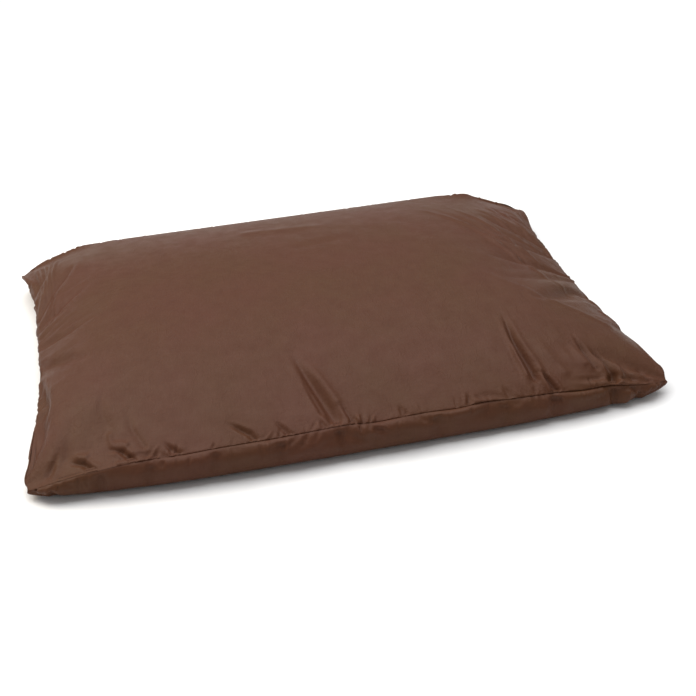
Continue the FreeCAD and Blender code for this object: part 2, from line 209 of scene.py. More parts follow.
BOTTOM_FOLDS = (
    ([(0.350, -0.306), (0.356, -0.341)], (0.004, 0.0065), 0.0087),
    ([(0.366, -0.306), (0.378, -0.338)], (0.004, 0.005), -0.0035),
    ([(0.386, -0.306), (0.394, -0.336)], (0.004, 0.005), 0.0043),
    ([(0.262, -0.306), (0.268, -0.340)], (0.008, 0.007), 0.0058),
    ([(0.190, -0.306), (0.196, -0.338)], (0.009, 0.007), 0.0038),
    ([(0.105, -0.306), (0.098, -0.338)], (0.009, 0.007), 0.0041),
    ([(0.010, -0.306), (0.018, -0.338)], (0.009, 0.008), 0.0038),
    ([(-0.030, -0.306), (-0.034, -0.340)], (0.006, 0.005), 0.0049),
    ([(-0.120, -0.306), (-0.112, -0.338)], (0.009, 0.006), 0.0041),
    ([(-0.205, -0.306), (-0.196, -0.340)], (0.008, 0.005), 0.0046),
    ([(-0.288, -0.306), (-0.280, -0.338)], (0.008, 0.005), 0.0041),
    ([(-0.352, -0.306), (-0.344, -0.340)], (0.007, 0.005), 0.0046),
    ([(-0.402, -0.306), (-0.410, -0.336)], (0.005, 0.004), 0.0035),
)

TOP_PUCKERS, BOTTOM_PUCKERS = 3, 5  # seeds
TOP_FOLDS += pleats() + puckers(TOP_PUCKERS)
BOTTOM_FOLDS += puckers(BOTTOM_PUCKERS)

# ---------------------------------------------------------------------------------------------
# Arrays


def box_blur(a, axis, half):
    if half < 1:
        return a
    pad = [(0, 0)] * a.ndim
    pad[axis] = (half + 1, half)
    total = np.cumsum(np.pad(a, pad, mode="edge"), axis=axis, dtype=np.float64)
    n = a.shape[axis]
    width = 2 * half + 1
    upper = np.take(total, np.arange(width, width + n), axis=axis)
    lower = np.take(total, np.arange(n), axis=axis)
    return ((upper - lower) / width).astype(a.dtype)


def blur(a, half):
    return box_blur(box_blur(a, 0, half), 1, half)


def smooth_noise(rng, shape, half, size):
    a = blur(blur(rng.standard_normal(shape).astype(SINGLE), half), half)
    return a * SINGLE(size / a.std())


def smooth_step(t):
    t = np.clip(t, 0, 1)
    return t * t * (3 - 2 * t)


def sample(points, places, axis):
    """The grid's values at fractional places along one axis, by a cubic curve through its points."""
    last = points.shape[axis] - 1
    i = np.clip(np.floor(places).astype(int), 0, last - 1)
    f = places - i
    near = (np.clip(i - 1, 0, last), i, i + 1, np.clip(i + 2, 0, last))
    weights = (
        (-(f**3) + 2 * f**2 - f) / 2,
        (3 * f**3 - 5 * f**2 + 2) / 2,
        (-3 * f**3 + 4 * f**2 + f) / 2,
        (f**3 - f**2) / 2,
    )
    shape = [1] * points.ndim
    shape[axis] = len(places)
    parts = [np.take(points, k, axis=axis) * w.reshape(shape) for k, w in zip(near, weights)]
    return sum(parts).astype(points.dtype)


def resized(points, cells):
    """Both panels' grids, sampled again with this many cells across and deep."""
    for axis, n in ((1, cells[1]), (2, cells[0])):
        points = sample(points, np.linspace(0, points.shape[axis] - 1, n + 1), axis)
    return points


def normals(points):
    """Unit normals of one grid, upwards for a panel that lies flat."""
    across = np.empty_like(points)
    across[:, 1:-1] = points[:, 2:] - points[:, :-2]
    across[:, 0] = points[:, 1] - points[:, 0]
    across[:, -1] = points[:, -1] - points[:, -2]
    deep = np.empty_like(points)
    deep[1:-1] = points[2:] - points[:-2]
    deep[0] = points[1] - points[0]
    deep[-1] = points[-1] - points[-2]
    n = np.empty_like(points)
    n[..., 0] = across[..., 1] * deep[..., 2] - across[..., 2] * deep[..., 1]
    n[..., 1] = across[..., 2] * deep[..., 0] - across[..., 0] * deep[..., 2]
    n[..., 2] = across[..., 0] * deep[..., 1] - across[..., 1] * deep[..., 0]
    n /= np.sqrt(np.einsum("...i,...i->...", n, n))[..., None] + SINGLE(1e-12)
    return n


# ---------------------------------------------------------------------------------------------
# The cover's flat pattern and its seam


def rounded_corners(points, size):
    """Draws each corner of a rectangle in a little, in a smooth patch round it."""
    out = points.copy()
    for side_x in (-1, 1):
        for side_y in (-1, 1):
            dx = points[..., 0] - side_x * size[0]
            dy = points[..., 1] - side_y * size[1]
            pull = CORNER_ROUND * np.exp(-(dx**2 + dy**2) / CORNER_REACH**2)
            out[..., 0] -= side_x * pull
            out[..., 1] -= side_y * pull
    return out


def cut_panel(cells, ease=(0.0, 0.0)):
    u = np.linspace(-1, 1, cells[0] + 1)[None, :]
    v = np.linspace(-1, 1, cells[1] + 1)[:, None]
    x = u * (CUT[0] / 2 + ease[0] * (1 - v**2))
    y = v * (CUT[1] / 2 + ease[1] * (1 - u**4) * (1 - EASE_LEAN * u))
    flat = np.stack([x + 0 * v, y + 0 * u, 0 * u * v], axis=-1)
    return rounded_corners(flat, (CUT[0] / 2, CUT[1] / 2))


def seam_curve(side, start, end, outward, cells):
    bulge, straight, lean, height, drop = SIDES[side]
    s = np.linspace(-1, 1, cells + 1)[:, None]
    start, end, outward = np.array(start), np.array(end), np.array(outward)
    line = start + (end - start) * (s + 1) / 2
    line = line + outward * bulge * (1 - np.abs(s) ** straight) * (1 - lean * s)
    rise = 1 - np.where(s < 0, np.abs(s) ** drop[0], np.abs(s) ** drop[1])
    line[:, 2:] = line[:, 2:] * (1 - rise) + height * rise
    return rounded_corners(line, TIP).astype(SINGLE)


def seam_curves(cells):
    """The line that each seam settles on."""
    x, y = TIP
    near_left, near_right = (-x, -y, NEAR_LEFT), (x, -y, NEAR_RIGHT)
    far_left, far_right = (-x, y, FAR_LEFT), (x, y, FAR_RIGHT)
    return {
        "front": seam_curve("front", near_left, near_right, (0, -1, 0), cells[0]),
        "rear": seam_curve("rear", far_left, far_right, (0, 1, 0), cells[0]),
        "left": seam_curve("left", near_left, far_left, (-1, 0, 0), cells[1]),
        "right": seam_curve("right", near_right, far_right, (1, 0, 0), cells[1]),
    }


SEAM_KNOTS = 26
SEAM_WAVER = 0.0009


def wavering(line, rng):
    """A seam line with the slight waver of real sewing, which dies away at the tips."""
    knots = rng.standard_normal((SEAM_KNOTS, 3)) * SEAM_WAVER
    knots[[0, -1]] = 0
    places = np.linspace(0, SEAM_KNOTS - 1, len(line))
    return line + sample(knots, places, 0).astype(SINGLE)


EDGES = {
    "front": (0, slice(None)),
    "rear": (-1, slice(None)),
    "left": (slice(None), 0),
    "right": (slice(None), -1),
}


def sheet_between(curves, cells):
    """The smooth sheet that spans the four seams."""
    u = np.linspace(0, 1, cells[0] + 1)[None, :, None]
    v = np.linspace(0, 1, cells[1] + 1)[:, None, None]
    front, rear, left, right = (curves[side] for side in ("front", "rear", "left", "right"))
    ruled = (1 - v) * front[None] + v * rear[None] + (1 - u) * left[:, None] + u * right[:, None]
    near = (1 - u) * front[0] + u * front[-1]
    far = (1 - u) * rear[0] + u * rear[-1]
    return ruled - (1 - v) * near - v * far


LENS_RISE = 0.065
LENS_ROUND, LENS_BASE = 6, 24  # how late its top and its flat base give way towards the seams


def lens(cells):
    """Both panels before they are filled: a low, smooth pillow."""
    base = sheet_between(seam_curves(cells), cells)
    u = np.linspace(-1, 1, cells[0] + 1)[None, :]
    v = np.linspace(-1, 1, cells[1] + 1)[:, None]
    top, bottom = base.copy(), base.copy()
    top[..., 2] += LENS_RISE * (1 - u**LENS_ROUND) * (1 - v**LENS_ROUND)
    bottom[..., 2] *= 1 - (1 - u**LENS_BASE) * (1 - v**LENS_BASE)
    return np.stack([top, bottom]).astype(SINGLE)


SHOULDER_ROUND = 2.4
FILL_REACH = (0.405, 0.330)  # how far from the middle the filling ends, across and deep
FILL_FLARE = 0.09  # near the tips it ends this share further out across
FILL_TUCK = 0.012  # and this much nearer the middle deep
CROWN_FALL = (0.020, 0.012)  # how much lower the top is, this far out across and deep
CROWN_FALL_AT = (0.42, 0.33)
RIGHT_FALL, RIGHT_FALL_AT = 0.012, 0.4  # and how much lower still towards the right
EDGE_HEIGHT, CORNER_FALL = 0.046, 0.034


def shoulder(distance, side):
    width, steepness = SHOULDERS[side]
    left = 1 - np.clip(distance / width, 0, 1)
    return (1 - left**SHOULDER_ROUND) ** (1 / steepness)


def fill_height(x, y):
    """How high the filling stands, which is lower towards the right and the corners."""
    in_x = FILL_REACH[0] * (1 + FILL_FLARE * np.abs(y / TIP[1]) ** 3)
    in_y = FILL_REACH[1] - FILL_TUCK * np.abs(x / TIP[0]) ** 3
    rise = shoulder(in_x + x, "left") * shoulder(in_x - x, "right")
    rise = rise * shoulder(in_y + y, "front") * shoulder(in_y - y, "rear")
    crown = CROWN - CROWN_FALL[0] * (x / CROWN_FALL_AT[0]) ** 2 - CROWN_FALL[1] * (y / CROWN_FALL_AT[1]) ** 2
    crown = crown - RIGHT_FALL * np.clip(x / RIGHT_FALL_AT, 0, 1) ** 2
    near_corner = np.clip(np.abs(x * y) / (TIP[0] * TIP[1]), 0, 1) ** 5
    base = EDGE_HEIGHT - CORNER_FALL * near_corner
    return base + (crown - base) * rise


# ---------------------------------------------------------------------------------------------
# The cloth solver: position-based, on both panels at once

TAUT = (0.980, 0.985)  # the fabric's length away from the seams, across and deep
SPARE = 0.014  # what it has to spare beside a seam, which lets it pucker
SPARE_REACH = 0.018
SIDE_DRAW = 0.022  # beside the short seams the fabric is drawn in by this much more
SIDE_REACH = 0.035
SHEAR = 0.10
BEND = 0.05
UNEVEN_GRAIN, UNEVEN_MOST = 0.012, 2.2  # the spare length varies from place to place
BOTTOM_TAUT = 0.995  # the bottom panel is never drawn in more than this, front to rear
PRESSURE = 0.0057
PRESSURE_EVERY = 10  # steps between two looks at how high the filling stands
FILL_WINDOW = 0.03  # its height is the average over this much either way
FILL_GIVE = 0.008
PUSH_LIMITS = (-0.6, 2)
BOTTOM_PUSH = 3  # the bottom panel is pressed down this many times as hard
WEIGHT = 0.15  # as a share of the pressure
GLIDE = 0.97  # the share of its speed that a point keeps
SEAM_PULL = 0.12


class Cloth:
    """Links between neighbouring grid points, in groups that touch no point twice."""

    def __init__(self, flats, ease_across, ease_deep):
        self.groups = []
        rows, cols = flats.shape[1:3]
        every_row, every_col = slice(0, rows), slice(0, cols)

        def group(r, c, down, right, pull, push):
            first = (slice(None), r, c)
            second = (slice(None), slice(r.start + down, r.stop + down, r.step),
                      slice(c.start + right, c.stop + right, c.step))
            rest = np.linalg.norm(flats[second] - flats[first], axis=-1)
            if down == 0:
                rest = rest * ease_across[first]
            elif right == 0:
                rest = rest * ease_deep[first]
            self.groups.append((first, second, rest[..., None].astype(SINGLE), SINGLE(pull), SINGLE(push)))

        for start in (0, 1):
            group(every_row, slice(start, cols - 1, 2), 0, 1, 0.5, 0.5)
        for start in (0, 1):
            group(slice(start, rows - 1, 2), every_col, 1, 0, 0.5, 0.5)
        for start in (0, 1):
            group(slice(start, rows - 1, 2), slice(0, cols - 1), 1, 1, SHEAR, SHEAR)
            group(slice(start, rows - 1, 2), slice(1, cols), 1, -1, SHEAR, SHEAR)
        for start in range(4):
            group(every_row, slice(start, cols - 2, 4), 0, 2, 0.0, BEND)
        for start in range(4):
            group(slice(start, rows - 2, 4), every_col, 2, 0, 0.0, BEND)

    def relax(self, points):
        for first, second, rest, pull, push in self.groups:
            d = points[second] - points[first]
            length = np.sqrt(np.einsum("...i,...i->...", d, d))[..., None]
            gap = (length - rest) / length
            d *= gap * np.where(gap > 0, pull, push)
            points[first] += d
            points[second] -= d


def eased(cells, rng):
    """How much longer or shorter than its flat pattern the fabric lies, across and deep."""
    plain = cut_panel(cells)
    h = CUT[0] / cells[0]
    shape = plain.shape[:2]
    grain = max(1, int(UNEVEN_GRAIN / h))
    uneven = np.clip(0.5 + smooth_noise(rng, shape, grain, 1.0), 0, UNEVEN_MOST)
    to_long_seam = CUT[1] / 2 - np.abs(plain[..., 1])
    to_short_seam = CUT[0] / 2 - np.abs(plain[..., 0])
    spare = SPARE * uneven
    across = TAUT[0] + spare * np.exp(-((to_long_seam / SPARE_REACH) ** 2))
    deep = TAUT[1] - SIDE_DRAW * np.exp(-((to_short_seam / SIDE_REACH) ** 2))
    past_end = np.abs(plain[..., 0]) - ZIP_HALF
    beside_zip = smooth_step(past_end / ZIP_FADE) * smooth_step(1 - past_end / (2 * ZIP_HOLD_FADE))
    at_rear = (to_long_seam < ZIP_FLAT) & (plain[..., 1] > 0)
    deep = deep + ZIP_SLOT / ZIP_FLAT * beside_zip * at_rear
    across[[0, -1]] = SEAM_TAKE_UP
    deep[:, [0, -1]] = SIDE_TAKE_UP
    return np.stack([across, across]), np.stack([deep, np.maximum(deep, BOTTOM_TAUT)])


def zip_hold(cells):
    """For each panel: the rows beside the zip, where they are held, and how firmly."""
    plain = cut_panel(cells)
    rows = max(2, round(ZIP_LOOSE * cells[0] / CUT[0]))
    strip = plain[-rows:]
    to_seam = CUT[1] / 2 - strip[..., 1]
    x = strip[..., 0] * 2 * TIP[0] / CUT[0]
    past_end = np.abs(x) - ZIP_HALF
    firm = smooth_step(1 - past_end / ZIP_HOLD_FADE)
    firm = (firm * smooth_step((ZIP_LOOSE - to_seam) / (ZIP_LOOSE - ZIP_FLAT)))[..., None].astype(SINGLE)
    open_share = smooth_step(1 - past_end / ZIP_FADE)
    slot = ZIP_SLOT * open_share
    from_slot = to_seam * (1 + ZIP_SLOT / ZIP_FLAT * (1 - open_share))
    held = []
    for sign in (1, -1):
        place = np.stack([x, np.full_like(x, ZIP_Y), ZIP_Z + sign * (slot + from_slot)], -1)
        held.append((rows, place.astype(SINGLE), firm))
    return held


def settle(points, level, rng):
    """Fills the cover: pressure, weight, the floor and the seams act on the cloth until it is still."""
    cells = level["cells"]
    h = CUT[0] / cells[0]
    flats = np.stack([cut_panel(cells, EASE["top"]), cut_panel(cells, EASE["bottom"])])
    cloth = Cloth(flats, *eased(cells, rng))
    curves = {side: wavering(line, rng) for side, line in seam_curves(cells).items()}
    held = zip_hold(cells)
    if level["rough"]:
        for panel in points:
            bumps = smooth_noise(rng, panel.shape[:2], max(1, int(level["grain"] / h / 2)), level["rough"])
            panel += normals(panel) * bumps[..., None]
    load = PRESSURE * h * h  # what one step's pressure moves a point
    height_window = max(1, int(FILL_WINDOW / h))
    before = points.copy()
    for step in range(level["steps"]):
        moved = points + (points - before) * SINGLE(GLIDE)
        before, points = points, moved
        if step % PRESSURE_EVERY == 0:
            height = blur(points[0][..., 2], height_window)
            want = fill_height(points[0][..., 0], points[0][..., 1])
            push = np.clip(1 + (want - height) / FILL_GIVE, *PUSH_LIMITS).astype(SINGLE)[..., None]
        points[0] += normals(points[0]) * push * SINGLE(load)
        points[1] -= normals(points[1]) * SINGLE(BOTTOM_PUSH * load)
        points[..., 2] -= SINGLE(WEIGHT * load)
        cloth.relax(points)
        low = points[1][..., 2] < 0
        points[1][..., 2][low] = 0
        points[1][..., :2][low] = (points[1][..., :2][low] + before[1][..., :2][low]) * SINGLE(0.5)
        for side, (r, c) in EDGES.items():
            edge = (points[0][r, c] + points[1][r, c]) * SINGLE(0.5)
            edge += (curves[side] - edge) * SINGLE(SEAM_PULL)
            points[0][r, c] = edge
            points[1][r, c] = edge
        for panel, (rows, place, firm) in zip(points, held):
            panel[-rows:] += (place - panel[-rows:]) * firm
    return points


BLUNT_REACH = 0.020
BLUNT_CELLS = 7


def blunt_tips(points):
    """Rounds off the four tips, where two seams meet."""
    middle = (points[0] + points[1]) / 2
    plain = cut_panel(GRID)
    from_tip = np.hypot(CUT[0] / 2 - np.abs(plain[..., 0]), CUT[1] / 2 - np.abs(plain[..., 1]))
    share = np.exp(-((from_tip / BLUNT_REACH) ** 2))[..., None]
    return points + ((blur(middle, BLUNT_CELLS) - middle) * share).astype(SINGLE)


def filled_cover():
    rng = np.random.default_rng(SEED)
    levels = LEVELS
    points = lens(levels[0]["cells"])
    for level in levels:
        points = settle(resized(points, level["cells"]), level, rng)
    return blunt_tips(resized(points, GRID))


# ---------------------------------------------------------------------------------------------
# Folds

CREASE = 1.5  # 2 would be a round valley, and 1 a sharp one
DEEPEST = 0.0098  # no fold reaches further in than this
FAINT_END, DEEP_END = 0.55, 0.10  # a fold comes and goes over these shares of its length
BESIDE, BESIDE_AT = 0.22, 2.2  # the low ridge beside it: a share of its depth, and its half widths away
FOLD_CLEAR = (0.014, 0.006)  # folds die away over this much beside the short and the long seams


def along(points, x, y):
    """How far each (x, y) is from a run of straight lines, and how far along it the nearest place is."""
    ends = np.array(points)
    lengths = np.linalg.norm(np.diff(ends, axis=0), axis=1)
    nearest = np.full(x.shape, 9.0)
    share = np.zeros(x.shape)
    done = 0.0
    for (ax, ay), (bx, by), length in zip(ends[:-1], ends[1:], lengths):
        t = np.clip(((x - ax) * (bx - ax) + (y - ay) * (by - ay)) / length**2, 0, 1)
        d = np.hypot(x - ax - t * (bx - ax), y - ay - t * (by - ay))
        share = np.where(d < nearest, (done + t * length) / lengths.sum(), share)
        nearest = np.minimum(d, nearest)
        done += length
    return nearest, share


def folded(panel, cut, folds, outward):
    """Presses the folds into one panel, along its normals. cut is where its points lie on the cut panel."""
    x, y = cut[..., 0], cut[..., 1]
    depth = np.zeros(x.shape)
    for points, (thin, wide), deep, *fade in folds:
        away, share = along(points, x, y)
        width = thin + (wide - thin) * share
        present = smooth_step(share / FAINT_END) * smooth_step((1 - share) / (fade[0] if fade else DEEP_END))
        valley = np.exp(-((away / width) ** CREASE)) - BESIDE * np.exp(-((away / width - BESIDE_AT) ** 2))
        depth += deep * present * valley
    depth = np.where(depth > 0, DEEPEST * np.tanh(depth / DEEPEST), depth)
    depth *= smooth_step((CUT[1] / 2 - np.abs(y)) / FOLD_CLEAR[1])
    depth *= smooth_step((CUT[0] / 2 - np.abs(x)) / FOLD_CLEAR[0])
    return panel - normals(panel) * (outward * depth)[..., None].astype(panel.dtype)


# ---------------------------------------------------------------------------------------------
# Meshes


def mesh_piece(name, points, faces, cut=None):
    """A smooth-shaded mesh object. cut is where each point lies on the flat cloth, for its weave."""
    mesh = bpy.data.meshes.new(name)
    faces = np.asarray(faces, dtype=np.int32)
    corners = faces.shape[1]
    mesh.vertices.add(len(points))
    mesh.vertices.foreach_set("co", np.asarray(points, dtype=SINGLE).ravel())
    mesh.loops.add(faces.size)
    mesh.loops.foreach_set("vertex_index", faces.ravel())
    mesh.polygons.add(len(faces))
    mesh.polygons.foreach_set("loop_start", np.arange(0, faces.size, corners, dtype=np.int32))
    mesh.polygons.foreach_set("use_smooth", np.ones(len(faces), bool))
    mesh.update(calc_edges=True)
    mesh.validate()
    if cut is not None:
        layer = mesh.attributes.new("cut", "FLOAT_VECTOR", "POINT")
        layer.data.foreach_set("vector", np.asarray(cut, dtype=SINGLE).ravel())
    piece = bpy.data.objects.new(name, mesh)
    bpy.context.scene.collection.objects.link(piece)
    return piece


def grid_faces(rows, cols, flip=False):
    index = np.arange(rows * cols).reshape(rows, cols)
    faces = np.stack([index[:-1, :-1], index[:-1, 1:], index[1:, 1:], index[1:, :-1]], -1).reshape(-1, 4)
    return faces[:, ::-1] if flip else faces


def rim(rows, cols):
    """The index of every point round a grid's edge, once round."""
    index = np.arange(rows * cols).reshape(rows, cols)
    return np.concatenate([index[0, :-1], index[:-1, -1], index[-1, :0:-1], index[:0:-1, 0]])


def ring_faces(first, second, flip=False):
    """Faces between two closed rings of points."""
    a, b = np.asarray(first), np.asarray(second)
    faces = np.stack([a, b, np.roll(b, -1), np.roll(a, -1)], -1)
    return faces[:, ::-1] if flip else faces


def inward_of(ring):
    """Level unit vectors that point into a ring of points."""
    run = np.roll(ring, -1, axis=0) - np.roll(ring, 1, axis=0)
    inward = np.stack([-run[:, 1], run[:, 0], 0 * run[:, 0]], -1)
    inward = box_blur(inward, 0, 3)
    return inward / (np.linalg.norm(inward, axis=1)[:, None] + 1e-9)


def zip_share(x, y):
    """1 along the zip, 0 elsewhere on the rim."""
    return smooth_step((ZIP_HALF + ZIP_FADE - np.abs(x)) / ZIP_FADE) * (y > 0.3)


FINE_ACROSS = 0.68  # of a simulated cell, on the finished panel
FINE_DEEP = (0.8, 2.1)  # the same beside the long seams and in the middle
FINE_REACH = 34  # cells
LIP = (0.0, 0.12, 0.35, 0.65)  # extra rows beside the seam, in cells
GROOVE = 0.0040  # how deep the seam sits between the two rounded lips
LIP_RADIUS = 0.0014
TIP_SHARE = 0.14  # the allowance narrows to nothing over the last of this share towards a tip
# The allowance's rows: how far each is turned in, and beside the zip how far behind the edge and how far up
TURNED = ((0.002, 0.0005, 0.0), (0.005, 0.0009, 0.001), (0.010, 0.0009, 0.008))
TURNED_GAP = 0.0003  # keeps the two panels' allowances apart


def with_lips(inner, cells):
    return np.concatenate([LIP, inner, cells - np.array(LIP[::-1])])


def fine_columns():
    return with_lips(np.linspace(1, GRID[0] - 1, round((GRID[0] - 2) / FINE_ACROSS)), GRID[0])


def fine_rows():
    """Closer together near the long seams, where the creases are."""
    half = [1.0]
    while half[-1] < GRID[1] / 2:
        share = smooth_step((half[-1] - FINE_REACH / 2) / FINE_REACH)
        half.append(half[-1] + FINE_DEEP[0] * (1 - share) + FINE_DEEP[1] * share)
    half = np.array(half) * (GRID[1] / 2 / half[-1])
    return with_lips(np.concatenate([half, GRID[1] - half[-2::-1]]), GRID[1])


def cover_panel(name, panel, folds, sign):
    """One cover panel, with its seam drawn in and its allowance turned inside. sign is 1 for the top."""
    h = CUT[0] / GRID[0]
    deep, across = fine_rows(), fine_columns()
    cut = sample(sample(cut_panel(GRID), deep, 0), across, 1)
    shape = sample(sample(panel, deep, 0), across, 1).astype(float)
    shape = folded(shape, cut, folds, sign)
    if sign < 0:
        shape[..., 2] = np.maximum(shape[..., 2], 0)
    to_front, to_rear = deep[:, None] * h, (GRID[1] - deep)[:, None] * h
    to_left, to_right = across[None, :] * h, (GRID[0] - across)[None, :] * h
    sewn = 1 - zip_share(shape[..., 0], shape[..., 1])
    shape[..., 1] += GROOVE * np.exp(-to_front / LIP_RADIUS)
    shape[..., 1] -= GROOVE * np.exp(-to_rear / LIP_RADIUS) * sewn
    shape[..., 0] += GROOVE * np.exp(-to_left / LIP_RADIUS)
    shape[..., 0] -= GROOVE * np.exp(-to_right / LIP_RADIUS)
    edge = rim(*shape.shape[:2])
    points, cuts = shape.reshape(-1, 3), cut.reshape(-1, 3)
    ring, ring_cut = points[edge], cuts[edge]
    inward, cut_inward = inward_of(ring), inward_of(ring_cut)
    zipped = zip_share(ring[:, 0], ring[:, 1])[:, None]
    corner = np.abs(ring_cut[:, 0] * ring_cut[:, 1])[:, None]
    width = smooth_step((1 - corner / corner.max()) / TIP_SHARE)
    all_points, all_cuts = [points], [cuts]
    faces = [grid_faces(*shape.shape[:2], sign < 0)]
    previous = edge
    count = len(points)
    for turned_in, behind, up in TURNED:
        sewn_place = ring + inward * turned_in * width
        sewn_place[:, 2] += sign * TURNED_GAP
        zip_place = ring + np.array([0, -behind, sign * up])
        all_points.append(sewn_place * (1 - zipped) + zip_place * zipped)
        all_cuts.append(ring_cut - cut_inward * turned_in)
        current = np.arange(count, count + len(edge))
        faces.append(ring_faces(previous, current, sign > 0))
        previous = current
        count += len(edge)
    return mesh_piece(name, np.concatenate(all_points), np.concatenate(faces), np.concatenate(all_cuts))


def tubes(name, lines, side, radius, sides=8, plies=0.0, turns=0.0):
    """Many short tubes at once: lines is (how many, points each, 3), and radius is for each point."""
    many, length = lines.shape[:2]
    tangent = np.gradient(lines, axis=1)
    tangent /= np.linalg.norm(tangent, axis=2)[..., None]
    across = side - tangent * np.einsum("nij,nij->ni", tangent, side)[..., None]
    across /= np.linalg.norm(across, axis=2)[..., None]
    third = np.cross(tangent, across)
    angle = np.linspace(0, 2 * math.pi, sides, endpoint=False)[None, None, :]
    run = np.linspace(0, 1, length)[None, :, None]
    thick = radius[None, :, None] * (1 + plies * np.cos(2 * (angle - turns * math.pi * run)))
    points = lines[:, :, None] + thick[..., None] * (
        np.cos(angle)[..., None] * across[:, :, None] + np.sin(angle)[..., None] * third[:, :, None]
    )
    index = np.arange(many * length * sides).reshape(many, length, sides)
    around = np.roll(index, -1, axis=2)
    faces = np.stack([index[:, :-1], around[:, :-1], around[:, 1:], index[:, 1:]], -1).reshape(-1, 4)
    cut = np.stack(np.broadcast_arrays(run * 1.0, angle, np.arange(many)[:, None, None] * 1.0), -1)
    return mesh_piece(name, points.reshape(-1, 3), faces, cut.reshape(-1, 3))


def stitches(name, middles, along_seam, outward, length, radius, sides=8, rings=9):
    """A row of stitches: each one rises out of the cloth, runs over it and dips back in."""
    s = np.linspace(-1, 1, rings)[None, :, None]
    lift = (1 - s**4) * 1.5 - 0.75
    lines = middles[:, None] + along_seam[:, None] * s * length / 2 + outward[:, None] * lift * radius
    side = np.broadcast_to(outward[:, None], lines.shape)
    thick = radius * (1 - 0.55 * np.abs(np.linspace(-1, 1, rings)) ** 4)
    return tubes(name, lines, side, thick, sides, plies=0.14, turns=2.4)


# ---------------------------------------------------------------------------------------------
# The cover, its threads and its label

cover = filled_cover()
cover_top = cover_panel("cover_top", cover[0], TOP_FOLDS, 1)
cover_bottom = cover_panel("cover_bottom", cover[1], BOTTOM_FOLDS, -1)
cover[0] = folded(cover[0], cut_panel(GRID), TOP_FOLDS, 1)
cover[1] = folded(cover[1], cut_panel(GRID), BOTTOM_FOLDS, -1)


STITCH_INSET = 0.006  # inside the bottom of the seam's groove
STITCH_PITCH = 0.0036
STITCH_ENDS = 0.010
STITCH_TIPS = 0.125  # no stitches where x times y is more, in square metres: there the seams meet
STITCH_LIFT = 0.0006


def seam_stitches(name, sign):
    """Lock stitches on one side of the sewn seam, hidden inside its edge and clear of the zip."""
    height, width = cover[0].shape[:2]
    ring = cover[0].reshape(-1, 3)[rim(height, width)].astype(float)
    path = ring + inward_of(ring) * (GROOVE + STITCH_INSET)
    path = box_blur(path, 0, 2)
    travelled = np.concatenate([[0], np.cumsum(np.linalg.norm(np.diff(path, axis=0), axis=1))])
    places = np.arange(STITCH_ENDS, travelled[-1] - STITCH_ENDS, STITCH_PITCH)
    middles = np.stack([np.interp(places, travelled, path[:, k]) for k in range(3)], -1)
    ahead = np.stack([np.interp(places + 0.001, travelled, path[:, k]) for k in range(3)], -1)
    clear_of_zip = zip_share(middles[:, 0], middles[:, 1]) < 0.02
    sewn = clear_of_zip & (np.abs(middles[:, 0] * middles[:, 1]) < STITCH_TIPS)
    middles, ahead = middles[sewn], ahead[sewn]
    run = ahead - middles
    run /= np.linalg.norm(run, axis=1)[:, None]
    up = np.tile([0.0, 0.0, float(sign)], (len(middles), 1))
    middles[:, 2] += sign * STITCH_LIFT
    return stitches(name, middles, run, up, 0.0030, 0.00018, sides=6, rings=5)


def zip_stitches(name, node):
    """The row of stitches beside the zip, where the CAD has its blocks."""
    low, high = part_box(node)
    length = 0.0027
    count = round((high.x - low.x - length) / STITCH_PITCH) + 1
    x = low.x + length / 2 + STITCH_PITCH * np.arange(count)
    middles = np.stack([x, np.full(count, ZIP_Y + 0.00012), np.full(count, (low.z + high.z) / 2)], -1)
    run = np.tile([1.0, 0.0, 0.0], (count, 1))
    out = np.tile([0.0, 1.0, 0.0], (count, 1))
    return stitches(name, middles, run, out, length, 0.00028)


needle_stitches = seam_stitches("seam_needle_stitches", 1)
bobbin_stitches = seam_stitches("seam_bobbin_stitches", -1)
upper_zip_stitches = zip_stitches("zip_stitches_upper", "zip_stitching_upper")
lower_zip_stitches = zip_stitches("zip_stitches_lower", "zip_stitching_lower")


LABEL_ROWS = 30  # of the bottom panel, from the rear seam
LABEL_GAP = (0.0004, 0.0022)  # between the cover and the label, at the seam and at its lower end
LABEL_FOLD = 0.08  # the share of its length that turns at the bottom
LABEL_CELLS = (28, 60)  # across and along
LABEL_SAG = 0.0010
LABEL_LAYER = 0.0014  # between its two layers
LABEL_WAVE, LABEL_TURNS = 0.0008, 2.2


def rear_section(x):
    """How far back the cover pushes whatever hangs from its rear seam, and how high, row by row."""
    rear = cover[1, -LABEL_ROWS:][::-1]
    back = np.array([np.interp(x, rear[0, :, 0], row) for row in np.maximum.accumulate(rear[..., 1])])
    height = np.array([np.interp(x, rear[0, :, 0], row) for row in rear[..., 2]])
    return back, height


